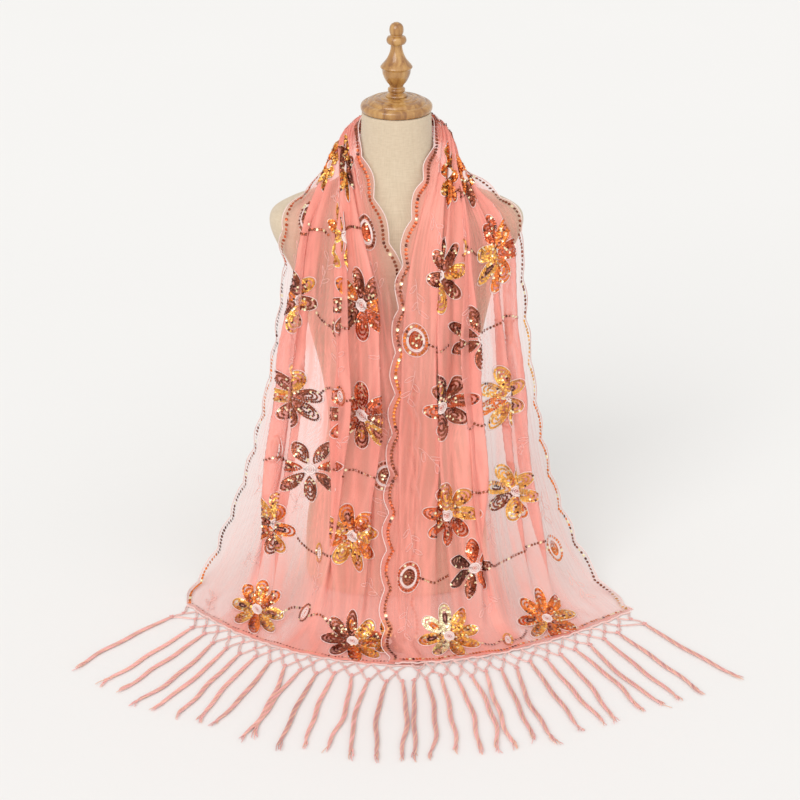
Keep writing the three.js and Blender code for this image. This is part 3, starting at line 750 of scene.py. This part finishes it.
class Trimming:
    """Sequins and embroidery threads by their places on the cloth."""

    def __init__(self):
        self.sequins = []
        self.threads = []

    def row(self, u, v, colour, size=3.5, spacing=3.3, closed=False, glint_and_reflection_share=0.06):
        """A row of sequins along a line on the cloth."""
        u, v = np.asarray(u, float), np.asarray(v, float)
        if closed:
            u, v = np.append(u, u[0]), np.append(v, v[0])
        reach = np.concatenate([[0], np.cumsum(np.hypot(np.diff(u), np.diff(v)))])
        count = max(int(reach[-1] / spacing), 1)
        at = (np.arange(count) + 0.5) * reach[-1] / count
        uu, vv = np.interp(at, reach, u), np.interp(at, reach, v)
        du = np.interp(at + 1, reach, u) - np.interp(at - 1, reach, u)
        dv = np.interp(at + 1, reach, v) - np.interp(at - 1, reach, v)
        tints = np.tile(np.array(colour), (count, 1)) * RANDOM.uniform(0.7, 1.25, (count, 1))
        # Painted highlight and painted reflection: a few sequins in each row are coloured pale gold as
        # glints, and a few dark as reflections of dark surroundings.
        glint_draw = RANDOM.random(count)
        tints[glint_draw < 1.4 * glint_and_reflection_share] = GLINT_PALE_GOLD
        tints[glint_draw > 1 - 0.6 * glint_and_reflection_share] = DARK
        for k in range(count):
            self.sequins.append((uu[k], vv[k], math.atan2(dv[k], du[k]), size, *np.minimum(tints[k], 1)))

    def thread(self, u, v, radius=0.55, colour=CORD_WHITE, closed=False):
        """An embroidery thread along a line on the cloth."""
        self.threads.append((np.asarray(u, float), np.asarray(v, float), radius, colour, closed))

    def petal(self, u, v, angle, length, width, colour, pointed=0.0):
        """A petal filled with nested rows of sequins, with a thread round it; u, v is its middle."""
        t = circle(40)

        def ring(size):
            # Fuller towards its tip.
            x = length * size * np.cos(t)
            y = width * size * np.sin(t) * (1 + 0.22 * np.cos(t)) * (1 - pointed * np.cos(t) ** 2)
            return turned(u, v, angle, x, y)

        second = colour if RANDOM.random() < 0.6 else (GOLD, ORANGE, BROWN, DARK)[RANDOM.integers(4)]
        for size, kind in ((0.9, colour), (0.6, colour), (0.3, second)):
            self.row(*ring(size), kind, size=4.3, spacing=3.0, closed=True)
        self.thread(*ring(1.06), closed=True)

    def flower(self, u, v, size, turn, colours, slender=False):
        """A flower of sequin petals round pale rings. Slender petals stand apart and come to a point, and
        the others are broad and touch."""
        count = len(colours)
        for k, colour in enumerate(colours):
            angle = turn + 2 * math.pi * k / count
            reach = 0.58 * size
            wide = 0.51 * size * math.sin(math.pi / count)
            if slender:
                reach, wide = (0.62 + RANDOM.uniform(-0.05, 0.05)) * size, 0.185 * size
            self.petal(
                u + reach * math.cos(angle), v + reach * math.sin(angle), angle, 0.43 * size, wide, colour,
                pointed=0.35 if slender else 0.0,
            )
        t = circle(20)
        rings = ((0.155, 1.5, CORD_WHITE), (0.10, 1.1, CORD_WHITE), (0.05, 0.9, CORD_PINK))
        for radius, thick, cord in rings:
            x, y = radius * size * np.cos(t), radius * size * np.sin(t)
            self.thread(u + x, v + y, thick, cord, closed=True)

    def rosette(self, u, v, colour, rim):
        """Oval rings of sequins with a thick pale ring between them."""
        t = circle(28)

        def ring(radius):
            return u + radius * np.cos(t), v + 1.3 * radius * np.sin(t)

        for radius in (2.4, 5.8, 9.0):
            self.row(*ring(radius), colour, size=4, closed=True)
        for radius in (11.6, 13.2):
            self.thread(*ring(radius), 1.0, closed=True)
        self.row(*ring(16.8), rim, size=4.6, spacing=4.7, closed=True)
        self.thread(*ring(19.6), 0.5, closed=True)

    def vine(self, places, colour):
        """A chain of spaced sequins with a fine thread under it, through places given as a share of the net's
        width and v."""
        places = np.array(places, float) * (CLOTH_WIDTH, 1)
        knots = np.arange(len(places), dtype=float)
        line = smooth(knots, places, np.linspace(0, knots[-1], 30))
        self.row(line[:, 0], line[:, 1], colour, size=4.4, spacing=4.8, glint_and_reflection_share=0.12)
        self.thread(line[:, 0], line[:, 1], 0.4, CORD_PINK)

    def bud(self, u, v, angle, colour):
        """A small leaf: a loop of sequins with pale thread inside."""
        t = circle(26)
        self.row(*turned(u, v, angle, 15 * np.cos(t), 7.5 * np.sin(t)), colour, closed=True)
        for size in (0.55, 0.3):
            x, y = 15 * size * np.cos(t), 7.5 * size * np.sin(t)
            self.thread(*turned(u, v, angle, x, y), 0.8, closed=True)

    def sprig(self, u, v, angle):
        """Pale embroidery only: a stem with pairs of little leaves."""
        ca, sa = math.cos(angle), math.sin(angle)
        stem = np.linspace(-24, 24, 14)
        self.thread(u + ca * stem, v + sa * stem + 3 * np.sin(stem / 9), 0.35, CORD_FAINT)
        t = circle(14)
        for k, along in enumerate((-16, -4, 8, 20)):
            tip = angle + (0.8 if k % 2 else -0.8)
            middle_u = u + ca * along + 8 * math.cos(tip)
            middle_v = v + sa * along + 8 * math.sin(tip)
            leaf = turned(middle_u, middle_v, tip, 8 * np.cos(t), 2.8 * np.sin(t))
            self.thread(*leaf, 0.42, CORD_FAINT, closed=True)


CENTRES = (-48, 330, 712, 1066, 1421, 1805)  # the single flowers, along the cloth
PAIRS_OFF = 107.0  # from a single flower to the pair on each side of it
FLOWER_SIZE = 54.0

# The petals' colours on the flowers round each centre: the pair before it, the flower on it, the pair after.
# Pale gold petals here are painted highlight, coloured as if their sequins glint.
MOODS = [
    [
        (GOLD, BROWN), (GOLD, ORANGE), (GOLD, ORANGE), (GOLD, ORANGE, GOLD), (GOLD, BROWN, ORANGE),
    ], [
        (BROWN, GOLD, ORANGE), (GOLD, ORANGE, GOLD), (BROWN, BROWN, RED), (BROWN, GOLD, BROWN),
        (RED, GOLD, BROWN),
    ], [
        (BROWN, GOLD, ORANGE, GLINT_PALE_GOLD), (BROWN, ORANGE, RED), (GOLD, GOLD, ORANGE), (GOLD, ORANGE),
        (GOLD, BROWN),
    ], [
        (BROWN, GOLD), (ORANGE, GOLD), (GOLD, BROWN), (ORANGE, BROWN), (GOLD, ORANGE),
    ], [
        (RED, ORANGE, GOLD), (GOLD, BROWN), (BROWN, BROWN, RED), (ORANGE, GOLD, GOLD),
        (BROWN, DARK, BROWN, RED),
    ], [
        (ORANGE, GOLD, BROWN), (RED, GOLD, ORANGE), (DARK, RED, BROWN), (ORANGE, GOLD, ORANGE),
        (GOLD, GOLD, GLINT_PALE_GOLD),
    ],
]

# Where the single flower stands across the net at each centre, and where the pairs stand.
SINGLES = (0.5, 0.47, 0.6, 0.5, 0.6, 0.63)
BEFORE_PAIR = (0.31, 0.76)
AFTER_PAIR = (0.33, 0.76)

# The sprigs round each centre: across the net, along it from the centre, and the way they point.
SPRIGS = (
    (0.08, -60, 1.3), (0.92, -62, 1.8), (0.1, 80, 1.7), (0.93, 74, 1.4), (0.55, 62, 0.2),
    (0.18, 188, 0.6), (0.55, 192, 1.5), (0.86, 190, 2.4), (0.45, -60, 1.2),
)


def petals(count, kinds):
    """Colours for a flower's petals, drawn from the kinds given."""
    return [kinds[RANDOM.integers(len(kinds))] for _ in range(count)]


def embroider(trim):
    """The repeating pattern over the whole cloth."""
    w = CLOTH_WIDTH
    inside = lambda v, room: room < v < LENGTH - room
    for n, (centre, moods) in enumerate(zip(CENTRES, MOODS)):
        middle = SINGLES[n]
        before = [(place, -1) for place in BEFORE_PAIR]
        after = [(place, 1) for place in AFTER_PAIR]
        spots = [*before, (middle, 0), *after]
        for k, (place, off) in enumerate(spots):
            v = centre + off * PAIRS_OFF + (6 if k % 2 else -4)
            if inside(v, 50):
                single = off == 0
                size = FLOWER_SIZE * (0.94 if single else 1)
                turn = RANDOM.uniform(0, 1)
                colours = petals(SINGLE_PETALS if single else PAIR_PETALS, moods[k])
                trim.flower(place * w, v, size, turn, colours, slender=single)
        if inside(centre, 30):
            first, second = (BROWN, RED)[n % 2], (RED, BROWN)[n % 2]
            outer, inner = first, BROWN
            if centre > NECK_MIDDLE:
                outer, inner = ORANGE, (ORANGE, RED)[n % 2]
            trim.rosette(0.12 * w, centre + 12, outer, outer)
            trim.rosette(0.92 * w, centre + 2, second, inner)
            near, far = middle - 0.12, middle + 0.12
            trim.vine(
                [(0.16, centre + 8), (0.24, centre - 12), (near - 0.05, centre + 2), (near, centre - 4)],
                BROWN,
            )
            trim.vine([(far, centre + 3), (far + 0.06, centre + 12), (0.88, centre + 4)], BROWN)
        for off, angle in ((-1, 1.7), (1, 1.35)):
            v = centre + off * (PAIRS_OFF + 30)
            if inside(v, 20):
                trim.bud(0.54 * w, v, angle, (GOLD, BROWN, ORANGE)[(n + off) % 3])
                trim.vine([(0.44, v - 14 * off), (0.48, v + 2), (0.53, v + 6 * off)], BROWN)
                trim.vine([(0.56, v - 4 * off), (0.61, v + 3), (0.66, v - 8 * off)], BROWN)
        for place, off, angle in SPRIGS:
            if inside(centre + off, 30):
                trim.sprig(place * w, centre + off, angle)
    trim.flower(0.9 * w, 66, 34, 0.4, [BROWN, GOLD, RED, GOLD, BROWN])


# The chains' colours on the outer and the inner edge: up the under end, round the neck, down the over end.
# Each colour is a stretch of chain, and the three lists change at the neck's two sides.
EDGE_COLOURS = (
    ((ORANGE, DARK, BROWN), (RED, BROWN, RED), (GOLD, ORANGE, ORANGE, BROWN)),
    ((BROWN, RED), (RED, BROWN), (RED, BROWN, DARK, BROWN, BROWN, ORANGE, BROWN)),
)
CHAIN_STRETCH = 120
CHAIN_NECK = (600, 1260)
CHAIN_INSET = 9  # from the scallops' tips to the chain


def on_cloth(u, v, room):
    """Which places are on the net or its borders, by at least some room."""
    reach = border_reach(v) - room
    return (u > -reach) & (u < CLOTH_WIDTH + reach) & (v > 3) & (v < LENGTH - 3)


def scallop_chains(trim):
    """Chains of sequins inside both scalloped edges and along both hems."""
    v = np.arange(3, LENGTH - 3, 3.0)
    reach = border_reach(v)
    for side, u in ((0, CHAIN_INSET - reach), (1, CLOTH_WIDTH - CHAIN_INSET + reach)):
        for start in range(0, int(LENGTH), CHAIN_STRETCH):
            part = (v >= start) & (v < start + CHAIN_STRETCH + 3)
            if part.sum() < 4:
                continue
            kinds = EDGE_COLOURS[side][sum(start >= turn for turn in CHAIN_NECK)]
            colour = kinds[(start // CHAIN_STRETCH) % len(kinds)]
            trim.row(u[part], v[part], colour, size=5.2, spacing=5.7, glint_and_reflection_share=0.05)
    u = np.arange(6, CLOTH_WIDTH - 4, 3.0)
    over_hem = np.full(len(u), LENGTH - 7) + 2.2 * np.cos(u / 20)
    trim.row(u, over_hem, ORANGE, size=4.6, spacing=5.2, glint_and_reflection_share=0.15)
    trim.row(u, np.full(len(u), 7.0), BROWN, size=3.0, spacing=5.5, glint_and_reflection_share=0.15)


def make_sequins(trim, foil):
    """All the sequins: small faceted cups, each sewn on at its own slight tilt."""
    table = np.array(trim.sequins)
    table = table[on_cloth(table[:, 0], table[:, 1], room=1)]
    u, v, angle, size = table[:, :4].T
    point, normal, side = sample(GRID, u, v), unit(sample(NORMAL, u, v)), unit(sample(SIDEWAYS, u, v))
    onward = np.cross(normal, side)
    way = side * np.cos(angle)[:, None] + onward * np.sin(angle)[:, None]
    tilt = RANDOM.normal(0, 0.13, (len(u), 2))
    up = unit(normal - way * (0.22 + tilt[:, :1]) + np.cross(normal, way) * tilt[:, 1:])
    first = unit(np.cross(way, up))
    second = np.cross(up, first)
    count = 8
    turn = 2 * math.pi * (np.arange(count) + 0.5) / count
    radius = size / 2
    centre = point + normal * (0.55 + 0.12 * size)[:, None]
    ring = first[:, None] * np.cos(turn)[:, None] + second[:, None] * np.sin(turn)[:, None]
    rim = centre[:, None] + ring * radius[:, None, None] + up[:, None] * (0.2 * radius)[:, None, None]
    points = np.concatenate([centre[:, None], rim], axis=1)
    points[..., 2] = np.maximum(points[..., 2], 0.1)
    start = (np.arange(len(u)) * (count + 1))[:, None]
    i = np.arange(count)[None, :]
    corners = np.broadcast_arrays(start, start + 1 + i, start + 1 + (i + 1) % count)
    faces = np.stack(corners, axis=-1).reshape(-1, 3)
    obj = mesh_object("sequins", points.reshape(-1, 3), faces, foil, shade_smooth=False)
    paint(obj, np.repeat(table[:, 4:7], count + 1, axis=0))
    return obj


def make_embroidery(trim, thread):
    """All the embroidery threads, and the cords that edge the scallops."""
    tubes = Tubes(sides=5)
    for u, v, radius, colour, closed in trim.threads:
        keep = on_cloth(u, v, room=0)
        if keep.sum() < 4:
            continue
        u, v = u[keep], v[keep]
        path = sample(GRID, u, v) + unit(sample(NORMAL, u, v)) * (0.35 + radius * 0.6)
        tubes.add(path, radius, colour, closed=closed and keep.all())
    v = np.arange(0, LENGTH, 2.6)
    rows = np.linspace(0, LENGTH, ROWS)
    for column in (0, -1):
        edge = np.stack([np.interp(v, rows, GRID[:, column, axis]) for axis in range(3)], axis=-1)
        edge[:, 2] = np.maximum(edge[:, 2], LAID_HEIGHT)
        tubes.add(edge, 0.75, CORD_WHITE)
    return tubes.build("embroidery", thread)


# ---------------------------------------------------------------- hems and fringes

HEM_OUT = 1.9  # from the net's end to the middle of its rolled hem
HEM_UP = 0.5
HEM_RADIUS = 1.2
HEM_STITCHES = 170
TASSELS = 16
STRANDS = 7
FIRST_KNOTS = 19.0  # from the hem to each row of knots
SECOND_KNOTS = 41.0
FRAYED_FROM = 0.8  # of the tassel's length


def hem_line(at, across):
    """The hem's points on the surface, and the way that the fringe goes from each."""
    points = pressed(across, np.full(len(across), float(at)))
    way = unit(points[:, :2] - FAN_CENTRE)
    return points, np.concatenate([way, np.zeros((len(across), 1))], axis=1)


def sway(across):
    """How far a hem waves in and out along its length."""
    return 1.1 * np.sin(2 * math.pi * 11 * across + 2) + 0.8 * np.sin(2 * math.pi * 23.5 * across)


def make_hem(name, at, thread, node):
    """A narrow rolled hem, oversewn all along."""
    tubes = Tubes(sides=8)
    across = np.linspace(0, 1, 150)
    points, way = hem_line(at, across)
    centre = points + way * (HEM_OUT + sway(across))[:, None]
    centre[:, 2] += HEM_UP
    tubes.add(centre, HEM_RADIUS, CORD_PINK)
    across = np.linspace(0, 1, HEM_STITCHES * 8)
    points, way = hem_line(at, across)
    turn = 2 * math.pi * HEM_STITCHES * across
    coil = points + way * (HEM_OUT + sway(across) + 1.5 * np.cos(turn))[:, None]
    coil[:, 2] += HEM_UP + 1.35 * np.sin(turn)
    tubes.add(coil, 0.35, CORD_WHITE)
    obj = tubes.build(name, thread)
    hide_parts(node)
    return obj


def overhand(centre, way, size):
    """The path of a small overhand knot, lying along a direction."""
    t = circle(26)
    x = np.sin(t) + 2 * np.sin(2 * t)
    y = np.cos(t) - 2 * np.cos(2 * t)
    path = centre + way * (x * size / 3)[:, None] + left_of(way) * (y * size / 3)[:, None]
    path[:, 2] -= np.sin(3 * t) * size * 0.34
    return path


def make_fringe(name, at, share, lift, thread, node):
    """A knotted fringe: two rows of diamonds, then a twisted tassel from each knot of the second row."""
    tubes = Tubes(sides=5)

    def spot(across, out):
        """A point beside the hem at a distance out from it, and the way that the fringe goes there."""
        points, way = hem_line(at, np.array([min(max(across, 0), 1)]))
        point = points[0] * np.array([1, 1, 0]) + way[0] * (2.5 + out)
        point[2] = 1.5 + lift * across * max(1 - out / 15, 0)
        return point, way[0]

    def link(start, end, bend):
        """Two strands side by side from one point to another."""
        side = unit(left_of(end - start))
        t = np.linspace(0, 1, 10)[:, None]
        bow = np.sin(math.pi * t)
        for off in (-1, 1):
            aside = bow * (bend + off * 1.5) + 0.5 * np.sin(2 * math.pi * t * 1.5 + bend)
            path = start + (end - start) * t + side * aside
            path[:, 2] = np.maximum(path[:, 2], 1.0)
            tone = np.array(CORD_PINK) * RANDOM.uniform(0.92, 1.08)
            tubes.add(path, 0.72, np.minimum(tone, 1))

    def knot(point, way, height, size, radius):
        """An overhand knot over a point."""
        tubes.add(overhand(np.array([*point[:2], height]), way, size), radius, YARN, closed=True)

    step = share / TASSELS
    hem = [spot(k * step, 0)[0] for k in range(TASSELS + 1)]
    ones = [spot((k + 0.5) * step, FIRST_KNOTS + RANDOM.uniform(-3.5, 3.5)) for k in range(TASSELS)]
    places = [(k + 1) * step for k in range(TASSELS - 1)] + [share - 0.15 * step]
    twos = [spot(place, SECOND_KNOTS + RANDOM.uniform(-6, 6)) for place in places]
    twos[0] = spot(0.3 * step, SECOND_KNOTS)
    for k, (point, way) in enumerate(ones):
        link(hem[k], point, RANDOM.uniform(-3.2, 3.2))
        link(hem[k + 1], point, RANDOM.uniform(-3.2, 3.2))
        knot(point, way, 2.2, 2.9, 0.85)
        link(point, twos[k][0], RANDOM.uniform(-3.2, 3.2))
        if k > 0:
            link(point, twos[k - 1][0], RANDOM.uniform(-3.2, 3.2))
    for k, (point, way) in enumerate(twos):
        knot(point, way, 2.7, 3.6, 1.05)
        inward = min(k, TASSELS - 1 - k, 6) / 6  # 0 for the tassels at the fringe's two ends
        reach = FRINGE_REACH - 3 - SECOND_KNOTS - RANDOM.uniform(0, 20) * inward
        side = left_of(way)
        t = np.linspace(0, 1, 54)
        bow, weave, phase = RANDOM.uniform(-10, 10), RANDOM.uniform(1, 3), RANDOM.uniform(0, 6.3)
        drift = RANDOM.uniform(-13, 13) * (0.3 + 0.7 * inward)
        aside = drift * t + bow * np.sin(math.pi * t) + weave * t * np.sin(2 * math.pi * t * 2.3 + phase)
        line = point + way * (t * reach)[:, None] + side * aside[:, None]
        line[:, 2] = 2.5
        pitch = RANDOM.uniform(34, 46)
        tone = np.array(YARN) * RANDOM.uniform(0.92, 1.12)
        wide = (1.7 + 1.2 * np.sin(math.pi * np.minimum(t * 1.05, 1))) * np.minimum(t * 9 + 0.4, 1)
        frayed = np.clip((t - FRAYED_FROM) / (1 - FRAYED_FROM), 0, 1)
        for s in range(STRANDS):
            turn = 2 * math.pi * (s / STRANDS + t * reach / pitch) + phase
            strand = line + side * (wide * np.cos(turn) + frayed ** 1.5 * RANDOM.uniform(-5, 5))[:, None]
            strand[:, 2] += 0.42 * wide * np.sin(turn)
            end = len(t) - RANDOM.integers(0, 5)
            thick = 0.95 * (1 - 0.45 * frayed[:end])
            hue = np.minimum(tone * RANDOM.uniform(0.86, 1.16), 1)
            # Every fourth strand is tinted gold as a painted glint.
            if s % 4 == 2:
                hue = np.minimum(np.array(YARN_GLINT) * RANDOM.uniform(0.9, 1.15), 1)
            tubes.add(strand[:end], thick, hue)
    obj = tubes.build(name, thread)
    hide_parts(node)
    return obj


# ---------------------------------------------------------------- the net itself

ONE_LAYER = 0.235  # how much of what lies behind it a single thickness of net covers


def closeness(u, v):
    """How much of what lies behind the net its threads cover at each point of the grid. It is more where the
    net is gathered or turns away on a fold's flank, and at the sewn hems, and less along the scallops.
    Hanging net has many fine creases, and net near the surface a few broad ones."""
    under = np.interp(ACROSS, *np.array(UNDER_GATHERS).T)
    over = np.interp(ACROSS, *np.array(OVER_GATHERS).T)
    layers = np.where(v < NECK_MIDDLE, under, over)
    height = GRID[..., 2]
    open_out = np.interp(height, [0, 60, 260, 560, 640, 700], [0.95, 0.8, 1, 1, 1.15, 1.3])
    layers = 1 + (layers - 1) * open_out + np.interp(height, [560, 640, 700], [0, 0.6, 1.8])
    creases = np.zeros_like(ACROSS)
    for k, count in enumerate((19, 31, 47, 73)):
        turn = count * ACROSS + wander(v, [(510, k + 0.4), (270, 2 * k)], 0.55)
        patch = 0.5 + 0.5 * np.sin(2 * math.pi * (2.3 * ACROSS + v / (420 + 130 * k)) + 1.7 * k)
        creases = creases + wave(turn) ** 4 * patch
    broad = np.zeros_like(ACROSS)
    for k, count in enumerate((6.3, 9.7)):
        turn = count * ACROSS + wander(v, [(640, k + 1.1), (330, 2 * k)], 0.6) + (1.1 - 0.5 * k) * v / 400
        broad = broad + wave(turn) ** 9
    standing = np.interp(height, [0, 90, 260], [0.22, 0.5, 1])
    creases = creases * standing + 0.75 * broad * (1 - standing) + 0.30 * (1 - standing)
    layers = layers * (0.74 + 0.70 * creases) / np.clip(FACING, 0.55, 1) ** 0.5
    cover = 1 - (1 - ONE_LAYER) ** np.clip(layers, 0.7, 6)
    edge = np.minimum(u, CLOTH_WIDTH - u)
    cover = cover * (0.6 + 0.4 * np.clip((edge + 14) / 34, 0, 1))
    stitched = np.exp(-((np.minimum(v, LENGTH - v) - 4) / 5) ** 2)
    return np.clip(cover + 0.25 * stitched, 0, 0.95)


def make_net():
    """The stole's net: one sheet from hem to hem, its long edges cut in scallops."""
    columns = GRID.shape[1]
    faces = grid_faces(ROWS, columns, False)
    obj = mesh_object("stole_net", GRID.reshape(-1, 3), faces, net_material())
    v = np.linspace(0, LENGTH, ROWS)
    reach = border_reach(v)
    shares = np.linspace(0, 1, BORDER_COLUMNS + 1)
    left = -shares[1:][::-1][None, :] * reach[:, None]
    inner = np.broadcast_to(np.linspace(0, CLOTH_WIDTH, COLUMNS + 1), (ROWS, COLUMNS + 1))
    right = CLOTH_WIDTH + shares[1:][None, :] * reach[:, None]
    u = np.concatenate([left, inner, right], axis=1)
    v = np.broadcast_to(v[:, None], u.shape)
    lay_out(obj, "cloth", np.stack([u, v], axis=-1).reshape(-1, 2))
    density = closeness(u, v)
    attribute = obj.data.attributes.new("closeness", "FLOAT", "POINT")
    attribute.data.foreach_set("value", density.astype(np.float32).ravel())
    stretches = ("under_end", "neck_stretch", "over_end")
    kinds = ("stole", "outer_border", "inner_border")
    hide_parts(*[f"{kind}_{stretch}" for stretch in stretches for kind in kinds])
    return obj


# ---------------------------------------------------------------- floor, light and camera

FLOOR_HALF = 60  # metres
FLOOR_DROP = 0.0004  # metres below the part, so that the two never share a plane


def make_stage():
    """A wide pale floor."""
    made, tree, shader = material("studio_floor")
    soft = noise(tree, position(tree), 1.2, 2.0)
    fill(tree, shader, {
        "Base Color": ramp(tree, soft, [(0.0, (0.825, 0.82, 0.81)), (1.0, (0.84, 0.835, 0.825))]),
        "Roughness": 0.95, "Specular IOR Level": 0.0,
    })
    mesh = bpy.data.meshes.new("studio_floor")
    signs = ((-1, -1), (1, -1), (1, 1), (-1, 1))
    corners = [(x * FLOOR_HALF, y * FLOOR_HALF, -FLOOR_DROP) for x, y in signs]
    mesh.from_pydata(corners, [], [(0, 1, 2, 3)])
    mesh.materials.append(made)
    floor = bpy.data.objects.new("studio_floor", mesh)
    bpy.context.scene.collection.objects.link(floor)


def make_lights():
    """An even, bright room with a broad soft key from the upper left."""
    scene = bpy.context.scene
    world = bpy.data.worlds.new("studio")
    world.use_nodes = True
    background = world.node_tree.nodes["Background"]
    background.inputs["Color"].default_value = (1.0, 0.99, 0.975, 1)
    background.inputs["Strength"].default_value = 0.80
    scene.world = world
    for name, energy, spread, tilt in (
        ("key", 1.3, 40, (math.radians(56), 0, math.radians(-28))),
        ("fill", 0.5, 80, (math.radians(60), 0, math.radians(35))),
    ):
        lamp = bpy.data.lights.new(name, "SUN")
        lamp.energy = energy
        lamp.angle = math.radians(spread)
        obj = bpy.data.objects.new(name, lamp)
        obj.rotation_euler = tilt
        scene.collection.objects.link(obj)
    scene.view_settings.view_transform = "Standard"
    scene.cycles.transparent_max_bounces = 40


def make_camera():
    """The camera: in front of the form, looking down on it."""
    camera = bpy.data.cameras.new("camera")
    camera.sensor_width = 36
    camera.lens = 87.03
    camera.shift_x = 0.0044
    obj = bpy.data.objects.new("camera", camera)
    obj.location = (0, -2.80, 1.64)
    obj.rotation_euler = (math.radians(90 - 25.4), 0, 0)
    bpy.context.scene.collection.objects.link(obj)
    bpy.context.scene.camera = obj


# ---------------------------------------------------------------- everything together

make_camera()
make_lights()
make_stage()

form = make_form()
wood = wood_material()
turned_piece("turned_cap", CAP_PROFILE, wood, "neck_cap", grooves=(44, 34, 25))
turned_piece("turned_finial", FINIAL_PROFILE, wood, "cap_finial")

stole = make_net()
trim = Trimming()
embroider(trim)
scallop_chains(trim)
foil = sequin_material()
silk = thread_material("embroidery_silk", 420.0, 0.55)
yarn = thread_material("fringe_yarn", 300.0, 0.6)
sequins = make_sequins(trim, foil)
embroidery = make_embroidery(trim, silk)
hems = [
    make_hem("hem_under", 0, silk, "hem_under_end"),
    make_hem("hem_over", LENGTH, silk, "hem_over_end"),
]
fringes = [
    make_fringe("fringe_under", 0, 0.95, 0, yarn, "fringe_under_end"),
    make_fringe("fringe_over", LENGTH, 0.93, OVER_HEM_RISE, yarn, "fringe_over_end"),
]
